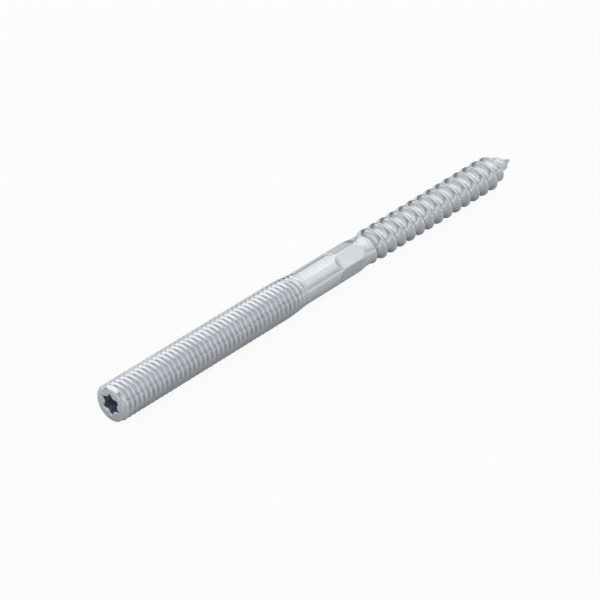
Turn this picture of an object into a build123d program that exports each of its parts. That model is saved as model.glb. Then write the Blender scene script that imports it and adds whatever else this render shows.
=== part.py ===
from build123d import *

import os
from math import ceil, cos, pi, radians, sin, sqrt, tan

# A double-threaded screw (hanger bolt), one cold-formed steel piece that lies along X.
# The origin is the centre of the machine end's face, and the point is at +X.
# Angles around the axis are in degrees from +Y towards +Z.

# Driving dimensions in millimetres
overall_length = 120.0

# Machine end: metric thread M8 x 1.25, kept at its major diameter
machine_diameter = 8.0
machine_pitch = 1.25
machine_full_length = 48.0
machine_runout_length = 5.2
end_rounding = 0.85

# Plain shank between the machine thread and the hexagon
shank_diameter = 7.05
shank_length = 9.0

# Hexagon pressed into the shank for a spanner, 6.2 across its flats
hex_press_depth = 0.425
hex_length = 8.8
hex_runout_radius = 4.5
hex_turn = -20.0

# Neck: the bare blank that the wood thread is rolled on
neck_diameter = 6.4
neck_bevel_length = 1.8
neck_length = 2.0
neck_shoulder_length = 1.6

# Wood end: coarse right-hand thread from the middle of the neck down to the point
wood_diameter = 7.3
wood_root_diameter = 5.4
wood_pitch = 2.95
wood_crest_width = 0.45
wood_flank_angle = 30.0
wood_lead = 1.2
wood_runin_length = 2.4
wood_crest_angle = 225.0
wood_crest_distance = 4.4
point_length = 7.2
point_tip_diameter = 0.5
point_bare_length = 1.0

# Six-lobe drive recess in the machine end, 4.5 across its lobes with this wall to the thread's root
recess_wall = 0.983
recess_depth = 3.6
recess_floor_angle = 60.0
recess_ledge = 0.2
recess_mouth = 0.25
recess_turn = 25.3

# Rules of the metric thread, by its pitch, and of the six-lobe form, by its width across lobes
METRIC_THREAD_DEPTH = 0.6134
HOLLOWS_SHARE = 0.727
LOBE_RADIUS_SHARE = 0.0867

# Rules of the model
SIDES = 6
STEPS_PER_TURN = 4
SEAT = 0.02
TANG = 1.0
BURIED_TURNS = 0.6
BURIED_HEIGHT = 0.06

# Sizes worked out from those above
machine_radius = machine_diameter / 2
machine_root_radius = machine_radius - METRIC_THREAD_DEPTH * machine_pitch
machine_end = machine_full_length + machine_runout_length
lobe_reach = machine_root_radius - recess_wall
hollow_reach = lobe_reach * HOLLOWS_SHARE
lobe_radius = lobe_reach * 2 * LOBE_RADIUS_SHARE
shank_radius = shank_diameter / 2
hex_start = machine_end + shank_length
hex_end = hex_start + hex_length
neck_radius = neck_diameter / 2
neck_end = hex_end + neck_length
shoulder_end = neck_end + neck_shoulder_length
wood_start = hex_end + wood_lead
wood_crest_place = wood_start + wood_crest_distance
wood_radius = wood_diameter / 2
wood_root_radius = wood_root_diameter / 2
ridge_height = wood_radius - wood_root_radius
ridge_half_base = wood_crest_width / 2 + ridge_height * tan(radians(wood_flank_angle))
point_start = overall_length - point_length
tip_radius = point_tip_diameter / 2
ridge_end = overall_length - point_bare_length
ridge_turns = ceil((ridge_end - wood_start) / wood_pitch + BURIED_TURNS)
ridge_begin = ridge_end - ridge_turns * wood_pitch


def turned(*outline):
    """The solid of revolution about X of an outline of (x, radius) points."""
    return revolve(make_face(Polyline(*outline, close=True)), Axis.X)


def blank():
    """The cold-headed blank, from the machine end's face to the tang inside the wood thread."""
    body = turned(
        (0, 0),
        (0, machine_radius),
        (machine_full_length, machine_radius),
        (machine_end, shank_radius),
        (hex_end - neck_bevel_length, shank_radius),
        (hex_end, neck_radius),
        (neck_end, neck_radius),
        (shoulder_end, wood_root_radius - SEAT),
        (shoulder_end + TANG, wood_root_radius - TANG),
        (shoulder_end + TANG, 0),
    )
    face_edge = body.edges().filter_by(GeomType.CIRCLE).sort_by(Axis.X)[0]
    return fillet(face_edge, end_rounding)


def flat_cutter():
    """What the press pushes in above one flat: a floor that runs out in an arc at both ends."""
    floor = shank_radius - hex_press_depth
    lid = shank_radius + hex_press_depth
    runout = sqrt(hex_runout_radius**2 - (hex_runout_radius - hex_press_depth) ** 2)
    whole_runout = sqrt(hex_runout_radius**2 - (hex_runout_radius - 2 * hex_press_depth) ** 2)
    left = hex_start + runout
    right = hex_end - runout
    outline = Curve() + [
        Line((left, floor), (right, floor)),
        RadiusArc((right, floor), (right + whole_runout, lid), -hex_runout_radius),
        Line((right + whole_runout, lid), (left - whole_runout, lid)),
        RadiusArc((left - whole_runout, lid), (left, floor), -hex_runout_radius),
    ]
    return extrude(Plane.XZ * make_face(outline), shank_radius, both=True)


def spanner_flats():
    """The cutters of all six flats around the axis."""
    cutter = flat_cutter()
    return [cutter.rotate(Axis.X, hex_turn + side * 360 / SIDES) for side in range(SIDES)]


def lobed_outline():
    """The six-lobe outline: round lobes that run into round hollows without a corner."""
    lobe_centre = lobe_reach - lobe_radius
    half_step = radians(180 / SIDES)
    # both arcs touch, so their centres lie the sum of their radii apart
    across = 2 * cos(half_step) * lobe_centre
    spare = lobe_centre**2 + hollow_reach**2 - across * hollow_reach - lobe_radius**2
    hollow_radius = spare / (2 * lobe_radius - 2 * hollow_reach + across)
    hollow_centre = hollow_reach + hollow_radius
    share = lobe_radius / (lobe_radius + hollow_radius)
    touch_x = lobe_centre + share * (hollow_centre * cos(half_step) - lobe_centre)
    touch_y = share * hollow_centre * sin(half_step)
    next_touch = Vector(touch_x, -touch_y).rotate(Axis.Z, 360 / SIDES)
    hollow_middle = (hollow_reach * cos(half_step), hollow_reach * sin(half_step))
    lobe_and_hollow = Curve() + [
        ThreePointArc((touch_x, -touch_y), (lobe_reach, 0), (touch_x, touch_y)),
        ThreePointArc((touch_x, touch_y), hollow_middle, next_touch),
    ]
    turns = [lobe_and_hollow.rotate(Axis.Z, side * 360 / SIDES) for side in range(SIDES)]
    return make_face(Curve() + turns)


def recess():
    """The socket that the driver fits, with straight lobes, a ledge and a coned floor."""
    end_plane = Plane(origin=(0, 0, 0), x_dir=(0, 1, 0), z_dir=(1, 0, 0))
    socket = extrude(end_plane * lobed_outline(), recess_depth)
    cone_radius = hollow_reach - recess_ledge
    cone_end = recess_depth + cone_radius / tan(radians(recess_floor_angle))
    cone = turned((0, 0), (0, cone_radius), (recess_depth, cone_radius), (cone_end, 0))
    return (socket + cone).rotate(Axis.X, recess_turn)


def root_at(x):
    """The wood thread's root radius at x, which falls to the tip along the point."""
    along = max(0, x - point_start) / point_length
    return wood_root_radius + (tip_radius - wood_root_radius) * along


def crest_at(x):
    """The wood thread's crest radius at x: it grows out of the neck and sinks into the point."""
    growing = neck_radius + (wood_radius - neck_radius) * (x - wood_start) / wood_runin_length
    crest = min(wood_radius, max(wood_root_radius + BURIED_HEIGHT, growing))
    fading = (max(0, x - point_start) / (ridge_end - point_start)) ** 2
    return root_at(x) + (crest - wood_root_radius) * (1 - fading) + BURIED_HEIGHT * fading


# The corners of the thread's section over one pitch, from the ridge's middle: place, on the crest or not
CORNERS = [
    (-ridge_half_base, False),
    (-wood_crest_width / 2, True),
    (wood_crest_width / 2, True),
    (ridge_half_base, False),
    (wood_pitch - ridge_half_base, False),
]
FOOT = CORNERS[3]


def corner_place(step, corner):
    """A corner's place along the axis and its radius, after a number of steps."""
    offset, on_crest = corner
    middle = ridge_begin + wood_pitch * step / STEPS_PER_TURN
    x = middle + offset
    return x, (crest_at(middle) if on_crest else root_at(x))


def angle_at(step):
    """The ridge's angle around the axis, in radians, after a number of steps."""
    begin = radians(wood_crest_angle) - 2 * pi * (wood_crest_place - ridge_begin) / wood_pitch
    return begin + 2 * pi * step / STEPS_PER_TURN


def corner_point(step, corner):
    """A corner's point in space, after a number of steps."""
    x, radius = corner_place(step, corner)
    return Vector(x, radius * cos(angle_at(step)), radius * sin(angle_at(step)))


def corner_helix(step, corner):
    """A corner's path over one step: one cubic curve along a helix on a cylinder or a cone."""
    x, radius = corner_place(step, corner)
    next_x, next_radius = corner_place(step + 1, corner)
    turn = 2 * pi / STEPS_PER_TURN
    climb = (next_x - x) / turn
    growth = (next_radius - radius) / turn
    handle = tan(turn / 4) * 4 / 3

    def heading(angle, radius):
        outward = Vector(0, cos(angle), sin(angle))
        around = Vector(0, -sin(angle), cos(angle))
        return (Vector(climb, 0, 0) + outward * growth + around * radius) * handle

    begin = corner_point(step, corner)
    end = corner_point(step + 1, corner)
    leaving = begin + heading(angle_at(step), radius)
    arriving = end - heading(angle_at(step + 1), next_radius)
    return Edge.make_bezier(begin, leaving, arriving, end)


def flat_end(places):
    """The flat face from the axis out to the places, (step, corner), of one angle."""
    rim = [corner_point(*place) for place in places]
    return Face(Wire.make_polygon(rim + [Vector(rim[-1].X, 0, 0), Vector(rim[0].X, 0, 0)], close=True))


def helical_end(first_step, corner):
    """The winding face from a corner's path over one turn in to the axis."""
    web = []
    for step in range(first_step, first_step + STEPS_PER_TURN):
        x, _ = corner_place(step, corner)
        next_x, _ = corner_place(step + 1, corner)
        on_axis = Edge.make_line((x, 0, 0), (next_x, 0, 0))
        web.append(Face.make_surface_from_curves(corner_helix(step, corner), on_axis))
    return web


def wood_thread():
    """The coarse thread and its core: ruled faces between the corners' paths, sewn to a solid."""
    steps = ridge_turns * STEPS_PER_TURN
    last_turn = steps - STEPS_PER_TURN
    faces = []
    for step in range(steps):
        for corner, next_corner in zip(CORNERS, CORNERS[1:]):
            # the bare tip takes the place of the last turn's root
            if corner != FOOT or step < last_turn:
                paths = corner_helix(step, corner), corner_helix(step, next_corner)
                faces.append(Face.make_surface_from_curves(*paths))
    faces.append(flat_end([(0, corner) for corner in CORNERS]))
    faces.append(flat_end([(last_turn, FOOT)] + [(steps, corner) for corner in CORNERS[:-1]]))
    faces += helical_end(0, CORNERS[0])
    faces += helical_end(last_turn, FOOT)
    return Solid(Shell(faces))


def bare_tip():
    """The plain cone under the last turn, seated in the thread's core."""
    cone_start = ridge_end - wood_pitch + ridge_half_base
    return turned(
        (cone_start - TANG, 0),
        (cone_start - TANG, root_at(cone_start) - SEAT),
        (cone_start, root_at(cone_start) - SEAT),
        (overall_length, tip_radius - SEAT),
        (overall_length, 0),
    )


def screw():
    """The whole piece, with the recess's rim flared at the end face."""
    machine_end_body = blank() - spanner_flats() - recess()
    rim = machine_end_body.faces().sort_by(Axis.X)[0].inner_wires()[0].edges()
    return chamfer(rim, recess_mouth) + wood_thread() + bare_tip()


os.makedirs("parts", exist_ok=True)
export_step(screw(), "parts/screw.step")
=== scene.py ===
from math import acos, atan2, ceil, cos, degrees, floor, hypot, pi, radians, sin, sqrt, tan

import bmesh
import bpy
from mathutils import Matrix, Vector


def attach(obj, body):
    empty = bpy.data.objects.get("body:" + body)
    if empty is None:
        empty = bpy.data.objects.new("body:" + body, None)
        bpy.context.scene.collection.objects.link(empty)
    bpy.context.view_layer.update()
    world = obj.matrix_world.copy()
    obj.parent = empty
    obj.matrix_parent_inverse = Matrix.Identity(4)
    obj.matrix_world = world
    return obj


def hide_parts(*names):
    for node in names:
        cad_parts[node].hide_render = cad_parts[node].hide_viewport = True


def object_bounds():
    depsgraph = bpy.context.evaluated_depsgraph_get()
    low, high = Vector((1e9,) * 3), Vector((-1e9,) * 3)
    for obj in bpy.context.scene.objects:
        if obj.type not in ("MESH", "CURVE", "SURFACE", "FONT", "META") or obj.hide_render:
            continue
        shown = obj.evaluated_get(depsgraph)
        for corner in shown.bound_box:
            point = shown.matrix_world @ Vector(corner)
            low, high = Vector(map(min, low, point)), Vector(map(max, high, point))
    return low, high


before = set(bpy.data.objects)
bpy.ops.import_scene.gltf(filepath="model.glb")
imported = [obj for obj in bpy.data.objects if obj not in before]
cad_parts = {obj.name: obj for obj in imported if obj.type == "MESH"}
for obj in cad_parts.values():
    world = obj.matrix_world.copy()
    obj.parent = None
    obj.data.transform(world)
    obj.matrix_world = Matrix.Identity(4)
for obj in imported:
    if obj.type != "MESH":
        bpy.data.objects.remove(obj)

# A double-threaded screw (hanger bolt) of bright zinc-plated steel, lying on a pale floor.
# It lies along X: the machine end's face is at 0, the point at +X. Angles run from +Y towards +Z.
# The shapes are worked out in millimetres and made metres at the end.
cad_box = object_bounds()
MM = 0.001
length = cad_box[1].x / MM

# Machine end: fine metric thread, its rounded end and its run-out
machine_radius = 4.0
machine_pitch = 1.25
machine_thread_depth = 0.767
machine_flank_angle = 30.0
machine_crest_width = 0.16
machine_ridge_place = 0.54
machine_full_length = 48.0
machine_runout_length = 5.2
machine_last_groove = 53.9
runout_root_start = 49.6
end_rounding = 0.85

# Shank with the hexagon pressed into it, and the neck
shank_radius = 3.525
hex_start = 62.2
hex_end = 71.0
hex_press_depth = 0.425
hex_runout_radius = 4.5
hex_flat_angle = 70.0
neck_radius = 3.2
neck_bevel_length = 1.8
neck_end = 73.0
neck_shoulder_length = 1.6

# Wood end: coarse thread down to the point
wood_radius = 3.65
wood_root_radius = 2.7
wood_pitch = 2.95
wood_crest_width = 0.45
wood_flank_angle = 30.0
wood_start = 72.2
wood_runin_length = 2.4
wood_crest_angle = 225.0
wood_crest_place = 76.6
point_length = 7.2
point_bare_length = 1.0
tip_radius = 0.25
tip_nub_length = 0.3

# Six-lobe recess in the machine end's face
lobe_reach = 2.25
hollow_reach = 1.636
lobe_radius = 0.39
recess_depth = 3.6
recess_foot_height = 0.2
recess_foot_inset = 0.15
recess_floor_angle = 60.0
recess_ledge = 0.2
recess_mouth = 0.25
recess_turn = 25.3

# The hexagon has as many flats as the recess has lobes
SIDES = 6

# How softly the rolled and pressed forms run into each other
crest_softness = 0.1
root_softness = 0.3
wood_crest_softness = 0.16
wood_root_softness = 1.0
form_softness = 0.08
press_softness = 0.05

# The mesh is made of three tubes: how far they reach past their forms, and the gaps bridged between them
past_last_groove = 0.3
past_hexagon = 0.5
before_hexagon = 0.4
machine_seam = 0.3
wood_seam = 0.1

# Fineness of the tubes, with the rounding's rows as turns in degrees, and the angle of a sharp edge
STEPS_PER_TURN = 64
MACHINE_POINTS = 14
WOOD_POINTS = 22
COLUMNS_PER_SIDE = 30
PLAIN_ROWS = 6
ROW_STEP = 0.13
ROUNDING_TURNS = (10, 20, 30, 40, 52, 64)
LOBE_STEPS = 8
TIP_STEPS = 5
CONE_TIP_SHARE = 0.1
SHARP_ANGLE = 40.0
TINY = 0.002

# The plating's clouds, crystals and marks as repeats in a metre, and how far the noise of the first two goes
cloud_scale = 260.0
crystal_scale = 2600.0
marks_along_scale = (60.0, 2400.0, 2400.0)
marks_around_scale = (5200.0, 160.0, 160.0)
tone_limits = (0.35, 0.65)
gloss_limits = (0.3, 0.7)

# The relief of the marks: its strength, and its depth in metres
marks_strength = 0.1
marks_depth = 0.00002

# The floor: half its width, its grey, how white the camera sees it and, in metres from the screw's
# axis, where metal begins to see it white and where it does so wholly. Nearer the screw metal sees
# only the floor's lit grey, so this glow paints a shadow round the screw into its reflections.
floor_half_width = 3.0
floor_grey = 0.68
camera_lift = 0.93
shadow_edge = 0.006
white_edge = 0.05

# The room's light, by the height of a direction: dim low down, bright overhead and more to one side
room_colour = (0.97, 0.985, 1.0, 1)
dim_height = 0.12
dim_light = 0.42
overhead_height = 0.65
overhead_light = 0.94
bright_side = (0.6, -0.8, 0.0)
side_light = 0.25
horizon_height = 0.25

# The camera's place, from the photo's perspective, and what lies in the middle of its picture
view_elevation = 34.25
view_turn = 47.61
view_distance = 645.2
view_lens = 191.44
SENSOR_WIDTH = 36.0
aim_left = 4.21
aim_below = 4.97

# Sizes worked out from those above
machine_root_radius = machine_radius - machine_thread_depth
machine_half_base = machine_crest_width / 2 + machine_thread_depth * tan(radians(machine_flank_angle))
face_radius = machine_radius - end_rounding
end_touch = end_rounding - sqrt(end_rounding**2 - (machine_root_radius - face_radius) ** 2)
hex_floor_radius = shank_radius - hex_press_depth
hex_runout = sqrt(hex_runout_radius**2 - (hex_runout_radius - hex_press_depth) ** 2)
hex_corner_angle = degrees(acos(hex_floor_radius / shank_radius))
point_start = length - point_length
ridge_end = length - point_bare_length
wood_ridge_height = wood_radius - wood_root_radius
wood_half_base = wood_crest_width / 2 + wood_ridge_height * tan(radians(wood_flank_angle))
wood_ridge_place = wood_crest_place - wood_crest_angle / 360 * wood_pitch
machine_sheet_end = machine_last_groove + past_last_groove
shank_sheet_start = machine_sheet_end + machine_seam
wood_sheet_start = hex_end + past_hexagon
shank_sheet_end = wood_sheet_start - wood_seam


def soft_min(a, b, softness):
    """The smaller of two radii, rounded where they cross."""
    share = min(1, max(0, 0.5 + (b - a) / (2 * softness)))
    return b + (a - b) * share - softness * share * (1 - share)


def soft_max(a, b, softness):
    """The larger of two radii, rounded where they cross."""
    return -soft_min(-a, -b, softness)


def ridge_share(offset, crest_width, half_base, crest_soft, root_soft):
    """How high a thread's flank stands at an offset from the ridge's middle, from 0 to 1."""
    flank = (half_base - abs(offset)) / (half_base - crest_width / 2)
    return soft_max(soft_min(flank, 1, crest_soft), 0, root_soft)


def from_ridge(x, angle, place, pitch):
    """The offset along the axis from the nearest ridge's middle."""
    turns = (x - place) / pitch - angle / (2 * pi)
    return (turns - floor(turns + 0.5)) * pitch


def machine_radius_at(x, angle):
    """The machine end: thread, rounded at its face and shallower along its run-out."""
    offset = from_ridge(x, angle, machine_ridge_place, machine_pitch)
    share = ridge_share(offset, machine_crest_width, machine_half_base, crest_softness, root_softness)
    radius = machine_root_radius + machine_thread_depth * share
    if x < end_rounding:
        radius = min(radius, face_radius + sqrt(end_rounding**2 - (end_rounding - x) ** 2))
    falling = (shank_radius - machine_radius) * (x - machine_full_length) / machine_runout_length
    radius = soft_min(radius, max(machine_radius + falling, shank_radius), form_softness)
    rising = min(1, (x - runout_root_start) / (machine_last_groove - runout_root_start))
    runout_root = machine_root_radius + (shank_radius - machine_root_radius) * rising
    return max(radius, runout_root) if x > runout_root_start else radius


def shank_radius_at(x, angle):
    """The shank with its six pressed flats, which run out in an arc at both ends, and the neck."""
    bevel = (x - hex_end + neck_bevel_length) / neck_bevel_length
    blank = soft_max(shank_radius + (neck_radius - shank_radius) * bevel, neck_radius, form_softness)
    blank = soft_min(shank_radius, blank, form_softness)
    past = max(0, hex_start + hex_runout - x, x - hex_end + hex_runout)
    if past >= hex_runout_radius:
        return blank
    flat = hex_floor_radius + hex_runout_radius - sqrt(hex_runout_radius**2 - past**2)
    turn = (degrees(angle) - hex_flat_angle + 180 / SIDES) % (360 / SIDES) - 180 / SIDES
    return soft_min(blank, flat / cos(radians(turn)), press_softness)


def wood_root_at(x):
    """The wood thread's root, which falls to the tip along the point."""
    along = max(0, x - point_start) / point_length
    return wood_root_radius + (tip_radius - wood_root_radius) * along


def wood_crest_height(x):
    """How high the ridge stands above its root: it grows out of the neck and fades down the point."""
    growing = neck_radius + (wood_radius - neck_radius) * (x - wood_start) / wood_runin_length
    height = min(wood_radius, max(wood_root_radius, growing)) - wood_root_radius
    fading = min(1, max(0, x - point_start) / (ridge_end - point_start)) ** 2
    return height * (1 - fading)


def wood_radius_at(x, angle):
    """The wood end: the ridge on its root, and the shoulder that falls from the neck to that root."""
    offset = from_ridge(x, angle, wood_ridge_place, wood_pitch)
    share = ridge_share(offset, wood_crest_width, wood_half_base, wood_crest_softness, wood_root_softness)
    ridge = wood_root_at(x) + wood_crest_height(x - offset) * share
    falling = (x - neck_end) / neck_shoulder_length
    shoulder = neck_radius + (wood_root_radius - neck_radius) * falling
    neck = soft_min(neck_radius, shoulder, form_softness)
    return soft_max(ridge, neck, form_softness) if x < neck_end + 2 * neck_shoulder_length else ridge


def radius_at(x, angle):
    """The screw's radius anywhere along its length."""
    if x <= machine_sheet_end:
        return machine_radius_at(x, angle)
    if x < wood_sheet_start:
        return shank_radius_at(x, angle)
    return wood_radius_at(x, angle)


def everything_in(bm):
    """All points, edges and faces of a mesh."""
    return bm.verts[:] + bm.edges[:] + bm.faces[:]


def points_in(geometry):
    """The points among the parts that a mesh operator gives back."""
    return [part for part in geometry if isinstance(part, bmesh.types.BMVert)]


def stands_at(point, x):
    """Whether a point lies at x along the axis."""
    return abs(point.co.x - x) < TINY


def from_axis(x, reach, angle):
    """The place at x along the axis that lies away from it at an angle."""
    return Vector((x, reach * cos(angle), reach * sin(angle)))


def chain(bm, places):
    """A row of points along X on a cylinder of 1 mm radius, joined by edges."""
    points = [bm.verts.new((x, 1, 0)) for x in places]
    return points + [bm.edges.new(pair) for pair in zip(points, points[1:])]


def slice_at(bm, x, **cleared):
    """Adds a line of edges round the whole mesh at x, and clears the side that is named, if any."""
    bmesh.ops.bisect_plane(
        bm, geom=everything_in(bm), dist=TINY, plane_co=(x, 0, 0), plane_no=(1, 0, 0), **cleared)


def helical_sheet(ridge_place, pitch, points, start, end):
    """A tube of strips wound along a thread, one pitch wide, cut off straight at both ends."""
    bm = bmesh.new()
    first = ridge_place - ceil((ridge_place - start) / pitch + 1) * pitch
    turns = ceil((end - first) / pitch)
    row = chain(bm, [first + pitch * point / points for point in range(points + 1)])
    bmesh.ops.spin(
        bm, geom=row, cent=(0, 0, 0), axis=(1, 0, 0), dvec=(pitch / STEPS_PER_TURN, 0, 0),
        angle=2 * pi, steps=STEPS_PER_TURN, use_merge=False)
    strip = everything_in(bm)
    for turn in range(1, turns):
        copy = bmesh.ops.duplicate(bm, geom=strip)["geom"]
        bmesh.ops.translate(bm, verts=points_in(copy), vec=(pitch * turn, 0, 0))
    bmesh.ops.remove_doubles(bm, verts=bm.verts, dist=TINY)
    slice_at(bm, start, clear_inner=True)
    slice_at(bm, end, clear_outer=True)
    bmesh.ops.remove_doubles(bm, verts=bm.verts, dist=TINY)
    return bm


def hexagon_turn(angle):
    """Moves the evenly spaced columns of a side so that two of them lie on the flat's edges."""
    side = 2 * pi / SIDES
    from_flat = angle - radians(hex_flat_angle)
    side_number = floor(from_flat / side + 0.5)
    turn = degrees(from_flat - side_number * side)
    column = 360 / SIDES / COLUMNS_PER_SIDE
    edge_turn = 180 / SIDES - column
    inner_turn = edge_turn - column
    inner_goal = hex_corner_angle - column / 2
    size = abs(turn)
    if size <= inner_turn:
        moved = size * inner_goal / inner_turn
    elif size <= edge_turn:
        moved = inner_goal + (size - inner_turn) / column * (hex_corner_angle - inner_goal)
    else:
        moved = hex_corner_angle + (size - edge_turn) / column * (180 / SIDES - hex_corner_angle)
    return side_number * side + radians(hex_flat_angle + (moved if turn > 0 else -moved))


def shank_sheet():
    """A tube of straight columns for the shank, finer along the hexagon."""
    bm = bmesh.new()
    start, end = shank_sheet_start, shank_sheet_end
    fine_start = hex_start - before_hexagon
    fine_rows = ceil((end - fine_start) / ROW_STEP)
    places = [start + (fine_start - start) * row / PLAIN_ROWS for row in range(PLAIN_ROWS)]
    places += [fine_start + (end - fine_start) * row / fine_rows for row in range(fine_rows + 1)]
    row = chain(bm, places)
    flat_angle = radians(hex_flat_angle)
    bmesh.ops.rotate(bm, verts=bm.verts, cent=(0, 0, 0), matrix=Matrix.Rotation(flat_angle, 3, "X"))
    bmesh.ops.spin(
        bm, geom=row, cent=(0, 0, 0), axis=(1, 0, 0), angle=2 * pi,
        steps=SIDES * COLUMNS_PER_SIDE, use_merge=True)
    for point in bm.verts:
        angle = hexagon_turn(atan2(point.co.z, point.co.y))
        point.co.y, point.co.z = cos(angle), sin(angle)
    return bm


def add_sheet(bm, sheet):
    """Adds one tube to the screw's mesh."""
    mesh = bpy.data.meshes.new("sheet")
    sheet.to_mesh(mesh)
    sheet.free()
    bm.from_mesh(mesh)
    bpy.data.meshes.remove(mesh)


def open_loop(bm, near_x):
    """The open edges of the tube end that is nearest to x."""
    open_edges = [edge for edge in bm.edges if edge.is_boundary]
    nearest = min((edge.verts[0].co.x for edge in open_edges), key=lambda x: abs(x - near_x))
    return [edge for edge in open_edges if all(stands_at(point, nearest) for point in edge.verts)]


def next_ring(bm, loop, x, radius):
    """Extrudes a tube's open end to a ring at x with its own radius."""
    made = bmesh.ops.extrude_edge_only(bm, edges=loop)["geom"]
    for point in points_in(made):
        across = Vector((point.co.y, point.co.z)).normalized() * radius
        point.co = (x, across.x, across.y)
    return [edge for edge in made if isinstance(edge, bmesh.types.BMEdge) and edge.is_boundary]


def close_to_point(bm, loop, x):
    """Draws a tube's open end together to one point on the axis."""
    last = next_ring(bm, loop, x, TINY)
    points = list({point for edge in last for point in edge.verts})
    bmesh.ops.pointmerge(bm, verts=points, merge_co=(x, 0, 0))


def lobed_ring(bm, x, growth):
    """The recess's six-lobe outline at x, grown outwards: round lobes that run into round hollows."""
    half_side = pi / SIDES
    first_turn = radians(recess_turn)
    lobe_centre = lobe_reach - lobe_radius
    across = 2 * cos(half_side) * lobe_centre
    spare = lobe_centre**2 + hollow_reach**2 - across * hollow_reach - lobe_radius**2
    hollow_radius = spare / (2 * lobe_radius - 2 * hollow_reach + across)
    hollow_centre = hollow_reach + hollow_radius
    touch = atan2(hollow_centre * sin(half_side), hollow_centre * cos(half_side) - lobe_centre)
    start = from_axis(0, 1, first_turn - touch) * (lobe_radius + growth)
    point = bm.verts.new(from_axis(x, lobe_centre, first_turn) + start)
    for side in range(SIDES):
        turn = first_turn + side * 2 * half_side
        lobe = from_axis(x, lobe_centre, turn)
        hollow = from_axis(x, hollow_centre, turn + half_side)
        for centre, angle in ((lobe, 2 * touch), (hollow, 2 * half_side - 2 * touch)):
            spun = bmesh.ops.spin(
                bm, geom=[point], cent=centre, axis=(1, 0, 0), angle=angle,
                steps=LOBE_STEPS, use_merge=False)
            point = points_in(spun["geom_last"])[0]
    farthest = lobe_reach + growth + TINY
    at_x = [point for point in bm.verts if stands_at(point, x)]
    ring = [point for point in at_x if hypot(point.co.y, point.co.z) < farthest]
    bmesh.ops.remove_doubles(bm, verts=ring, dist=TINY)
    return [edge for edge in bm.edges if edge.is_wire and all(stands_at(point, x) for point in edge.verts)]


def recess(bm, face_loop):
    """Sinks the socket into the flat face, and gives back the faces of its walls and coned floor."""
    rim = lobed_ring(bm, 0, recess_mouth)
    bmesh.ops.triangle_fill(bm, edges=face_loop + rim, use_beauty=True)
    wall_top = lobed_ring(bm, recess_mouth, 0)
    bmesh.ops.bridge_loops(bm, edges=rim + wall_top)
    outside = set(bm.faces)
    wall_foot = lobed_ring(bm, recess_depth - recess_foot_height, 0)
    bmesh.ops.bridge_loops(bm, edges=wall_top + wall_foot)
    floor_edge = lobed_ring(bm, recess_depth, -recess_foot_inset)
    bmesh.ops.bridge_loops(bm, edges=wall_foot + floor_edge)
    cone_radius = hollow_reach - recess_ledge
    cone_depth = cone_radius / tan(radians(recess_floor_angle))
    near_tip = recess_depth + cone_depth * (1 - CONE_TIP_SHARE)
    loop = next_ring(bm, floor_edge, recess_depth, cone_radius)
    loop = next_ring(bm, loop, near_tip, cone_radius * CONE_TIP_SHARE)
    close_to_point(bm, loop, recess_depth + cone_depth)
    return [face for face in bm.faces if face not in outside]


def blunt_tip(bm):
    """The small rounded nub that rolling leaves at the point."""
    loop = open_loop(bm, length)
    start = length - tip_nub_length
    root = wood_root_at(start)
    for step in range(1, TIP_STEPS):
        turn = pi / 2 * step / TIP_STEPS
        loop = next_ring(bm, loop, start + tip_nub_length * sin(turn), root * cos(turn))
    close_to_point(bm, loop, length)


def screw_mesh():
    """The whole screw as one closed mesh, with the faces inside the recess in a material of their own that
    paints shade into them.
    """
    bm = bmesh.new()
    add_sheet(bm, helical_sheet(
        machine_ridge_place, machine_pitch, MACHINE_POINTS, end_touch, machine_sheet_end))
    for turn in ROUNDING_TURNS:
        slice_at(bm, end_rounding * (1 - cos(radians(turn))))
    add_sheet(bm, shank_sheet())
    add_sheet(bm, helical_sheet(
        wood_ridge_place, wood_pitch, WOOD_POINTS, wood_sheet_start, length - tip_nub_length))
    for point in bm.verts:
        angle = atan2(point.co.z, point.co.y)
        radius = radius_at(point.co.x, angle)
        point.co.y, point.co.z = radius * cos(angle), radius * sin(angle)
    for before, after in ((machine_sheet_end, shank_sheet_start), (shank_sheet_end, wood_sheet_start)):
        bmesh.ops.bridge_loops(bm, edges=open_loop(bm, before) + open_loop(bm, after))
    face_loop = next_ring(bm, open_loop(bm, 0), 0, face_radius)
    # The recess's faces get the second material, whose darker colours are painted shade.
    for face in recess(bm, face_loop):
        face.material_index = 1
    blunt_tip(bm)
    bmesh.ops.recalc_face_normals(bm, faces=bm.faces)
    for face in bm.faces:
        face.smooth = True
    for edge in bm.edges:
        edge.smooth = edge.is_boundary or edge.calc_face_angle(0) < radians(SHARP_ANGLE)
    bmesh.ops.scale(bm, vec=(MM, MM, MM), verts=bm.verts)
    return bm


def into_scene(name, data):
    """A new object in the scene that shows a mesh, a lamp or a camera."""
    holder = bpy.data.objects.new(name, data)
    bpy.context.scene.collection.objects.link(holder)
    return holder


def new_piece(name, bm):
    """A new piece from a mesh that is taken over."""
    mesh = bpy.data.meshes.new(name)
    bm.to_mesh(mesh)
    bm.free()
    return into_scene(name, mesh)


def add(tree, kind, links=None, **settings):
    """A node with its settings; links gives values or other nodes' outputs by input name or number."""
    made = tree.nodes.new(kind)
    for name, value in settings.items():
        setattr(made, name, value)
    for name, value in (links or {}).items():
        if isinstance(value, bpy.types.NodeSocket):
            tree.links.new(value, made.inputs[name])
        else:
            made.inputs[name].default_value = value
    return made


def maths(tree, operation, *values):
    """The result of one operation on values or other nodes' outputs."""
    return add(tree, "ShaderNodeMath", dict(enumerate(values)), operation=operation).outputs[0]


def ramp(tree, value, start, end, low=0.0, high=1.0, curve="LINEAR"):
    """What goes from low to high while another node's output goes from start to end."""
    limits = {"Value": value, "From Min": start, "From Max": end, "To Min": low, "To Max": high}
    return add(tree, "ShaderNodeMapRange", limits, interpolation_type=curve).outputs[0]


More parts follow.
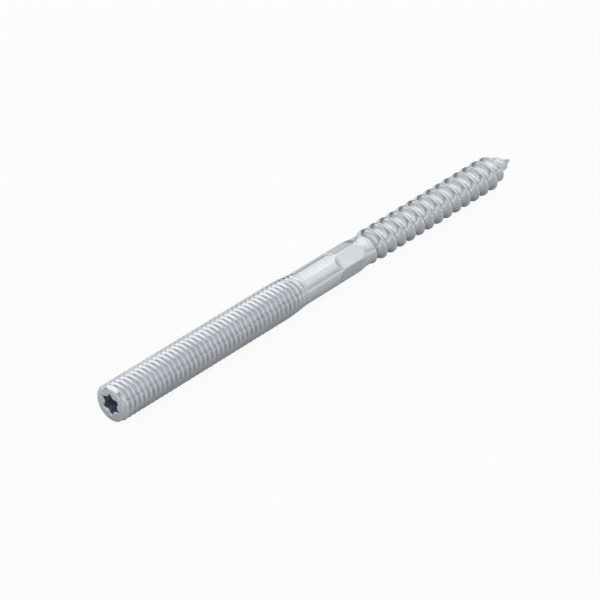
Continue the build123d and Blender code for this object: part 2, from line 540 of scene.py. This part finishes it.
def new_group(name, outputs):
    """An empty node group that takes a place, with named values as its outputs."""
    tree = bpy.data.node_groups.new(name, "ShaderNodeTree")
    tree.interface.new_socket("Place", in_out="INPUT", socket_type="NodeSocketVector")
    for label in outputs:
        tree.interface.new_socket(label, in_out="OUTPUT", socket_type="NodeSocketFloat")
    place = tree.nodes.new("NodeGroupInput").outputs["Place"]
    return tree, place, tree.nodes.new("NodeGroupOutput").inputs


def mottle_group():
    """The plating's uneven tone and gloss: large clouds with small crystals in them."""
    tree, place, result = new_group("Plating Mottle", ("Tone", "Gloss"))
    clouds = add(tree, "ShaderNodeTexNoise", {"Vector": place, "Scale": cloud_scale, "Detail": 4.0})
    crystals = add(tree, "ShaderNodeTexNoise", {"Vector": place, "Scale": crystal_scale, "Detail": 3.0})
    both = maths(tree, "ADD", clouds.outputs[0], crystals.outputs[0])
    tree.links.new(maths(tree, "MULTIPLY", both, 0.5), result["Tone"])
    tree.links.new(crystals.outputs[0], result["Gloss"])
    return tree


def marks_group():
    """Fine marks of drawing and rolling, stretched along the axis or around it, as heights."""
    tree, place, result = new_group("Drawing Marks", ("Along", "Around"))
    for label, stretch in (("Along", marks_along_scale), ("Around", marks_around_scale)):
        stretched = add(tree, "ShaderNodeVectorMath", {0: place, 1: stretch}, operation="MULTIPLY")
        marks = {"Vector": stretched.outputs[0], "Scale": 1.0, "Detail": 3.0}
        tree.links.new(add(tree, "ShaderNodeTexNoise", marks).outputs[0], result[label])
    return tree


def new_material(name):
    """A new material with its node tree and its shader."""
    material = bpy.data.materials.new(name)
    material.use_nodes = True
    return material, material.node_tree, material.node_tree.nodes["Principled BSDF"]


def zinc(name, groups, light, dark, roughness, metallic):
    """Zinc plating on steel: a bluish metal between two tones, with its mottle and its marks."""
    mottle, marks = groups
    material, tree, shader = new_material(name)
    shader.inputs["Metallic"].default_value = metallic
    place = add(tree, "ShaderNodeTexCoord").outputs["Object"]
    uneven = add(tree, "ShaderNodeGroup", {"Place": place}, node_tree=mottle).outputs
    lines = add(tree, "ShaderNodeGroup", {"Place": place}, node_tree=marks).outputs
    tone = ramp(tree, uneven["Tone"], *tone_limits)
    gloss = ramp(tree, uneven["Gloss"], *gloss_limits, *roughness)
    colour = add(tree, "ShaderNodeMix", {0: tone, 6: (*dark, 1), 7: (*light, 1)}, data_type="RGBA")
    tree.links.new(colour.outputs[2], shader.inputs["Base Color"])
    tree.links.new(gloss, shader.inputs["Roughness"])
    height = maths(tree, "ADD", lines["Along"], lines["Around"])
    relief = {"Height": height, "Strength": marks_strength, "Distance": marks_depth}
    tree.links.new(add(tree, "ShaderNodeBump", relief).outputs[0], shader.inputs["Normal"])
    return material


def screw():
    """The finished screw, which stands for the CAD solid."""
    piece = new_piece("plated_screw", screw_mesh())
    groups = mottle_group(), marks_group()
    piece.data.materials.append(zinc(
        "bright zinc", groups, light=(0.66, 0.675, 0.7), dark=(0.58, 0.6, 0.63),
        roughness=(0.13, 0.21), metallic=1.0))
    # Painted shade: the recess's walls and floor get much darker colours than the outside plating, standing
    # in for the shade deep in the hole.
    piece.data.materials.append(zinc(
        "dull zinc with painted shade in the recess", groups, light=(0.28, 0.34, 0.44), dark=(0.16, 0.21, 0.29),
        roughness=(0.3, 0.4), metallic=0.5))
    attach(piece, "root")
    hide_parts("screw")


def seen_in_metal(tree, light_path):
    """1 for what metal and glass show, 0 for what the camera sees and for the light itself."""
    return maths(tree, "MAXIMUM", light_path["Is Glossy Ray"], light_path["Is Transmission Ray"])


def pale_floor():
    """A plain pale floor that the screw lies on, which keeps the screw's shadow. To metal it glows white
    away from the screw but not near it: a painted shadow round the screw in its reflections.
    """
    bm = bmesh.new()
    bmesh.ops.create_grid(bm, x_segments=1, y_segments=1, size=floor_half_width)
    bmesh.ops.translate(bm, vec=(length / 2 * MM, 0, -machine_radius * MM), verts=bm.verts)
    piece = new_piece("pale_floor", bm)
    material, tree, shader = new_material("pale floor")
    shader.inputs["Base Color"].default_value = (floor_grey, floor_grey, floor_grey, 1)
    shader.inputs["Roughness"].default_value = 0.9
    shader.inputs["Specular IOR Level"].default_value = 0.1
    white = add(tree, "ShaderNodeEmission", {"Color": (1, 1, 1, 1), "Strength": 1.0})
    place = add(tree, "ShaderNodeTexCoord").outputs["Object"]
    place = add(tree, "ShaderNodeSeparateXYZ", {0: place}).outputs
    beside = maths(tree, "ABSOLUTE", place["Y"])
    before = maths(tree, "MULTIPLY", place["X"], -1.0)
    away = maths(tree, "MAXIMUM", beside, before)
    # Painted shadow: metal sees the floor glow white only from shadow_edge outwards, and near the screw sees
    # its darker lit grey instead.
    metal_white_past_painted_shadow = ramp(tree, away, shadow_edge, white_edge, curve="SMOOTHSTEP")
    light_path = add(tree, "ShaderNodeLightPath").outputs
    for_metal = maths(tree, "MULTIPLY", seen_in_metal(tree, light_path), metal_white_past_painted_shadow)
    for_camera = maths(tree, "MULTIPLY", light_path["Is Camera Ray"], camera_lift)
    lift = maths(tree, "MAXIMUM", for_metal, for_camera)
    blend = add(tree, "ShaderNodeMixShader", {0: lift, 1: shader.outputs[0], 2: white.outputs[0]})
    tree.links.new(blend.outputs[0], tree.nodes["Material Output"].inputs["Surface"])
    piece.data.materials.append(material)


def room():
    """A pale room: dim low down, brighter overhead and towards the camera's right, white at the horizon."""
    world = bpy.data.worlds.new("room")
    bpy.context.scene.world = world
    world.use_nodes = True
    tree = world.node_tree
    direction = add(tree, "ShaderNodeTexCoord").outputs["Generated"]
    height = add(tree, "ShaderNodeSeparateXYZ", {0: direction}).outputs["Z"]
    overhead = ramp(
        tree, height, dim_height, overhead_height, dim_light, overhead_light, curve="SMOOTHSTEP")
    aside = add(tree, "ShaderNodeVectorMath", {0: direction, 1: bright_side}, operation="DOT_PRODUCT")
    light = maths(tree, "MULTIPLY_ADD", aside.outputs["Value"], side_light, overhead)
    horizon = ramp(tree, height, 0.0, horizon_height, low=1.0, high=0.0, curve="SMOOTHSTEP")
    light_path = add(tree, "ShaderNodeLightPath").outputs
    for_metal = maths(tree, "MULTIPLY", seen_in_metal(tree, light_path), horizon)
    white = maths(tree, "MAXIMUM", for_metal, light_path["Is Camera Ray"])
    background = tree.nodes["Background"]
    background.inputs["Color"].default_value = room_colour
    tree.links.new(maths(tree, "MAXIMUM", light, white), background.inputs["Strength"])


def softbox(name, offset, width, height, energy):
    """A large soft lamp that points at the screw's middle from an offset in metres."""
    lamp = bpy.data.lights.new(name, "AREA")
    lamp.shape = "RECTANGLE"
    lamp.size = width
    lamp.size_y = height
    lamp.energy = energy
    holder = into_scene(name, lamp)
    target = Vector((length / 2 * MM, 0, 0))
    holder.location = target + Vector(offset)
    holder.rotation_mode = "QUATERNION"
    holder.rotation_quaternion = (target - holder.location).to_track_quat("-Z", "Y")


def camera():
    """The camera at the photo's angle, looking down along the screw from its machine end."""
    elevation, turn = radians(view_elevation), radians(view_turn)
    right = Vector((cos(turn), -sin(turn), 0))
    back = Vector((-cos(elevation) * sin(turn), -cos(elevation) * cos(turn), sin(elevation)))
    up = back.cross(right)
    lens = bpy.data.cameras.new("camera")
    lens.lens = view_lens
    lens.sensor_width = SENSOR_WIDTH
    holder = into_scene("camera", lens)
    middle = Vector((length / 2, 0, 0))
    holder.location = (middle - right * aim_left - up * aim_below + back * view_distance) * MM
    holder.rotation_mode = "QUATERNION"
    holder.rotation_quaternion = Matrix((right, up, back)).transposed().to_quaternion()
    bpy.context.scene.camera = holder


screw()
pale_floor()
room()
softbox("softbox over the point", offset=(0.4, 0.2, 0.53), width=0.8, height=0.8, energy=0.65)
softbox("softbox before the machine end", offset=(-0.68, 0.35, 0.22), width=0.6, height=0.4, energy=0.85)
camera()
bpy.context.scene.view_settings.view_transform = "Standard"
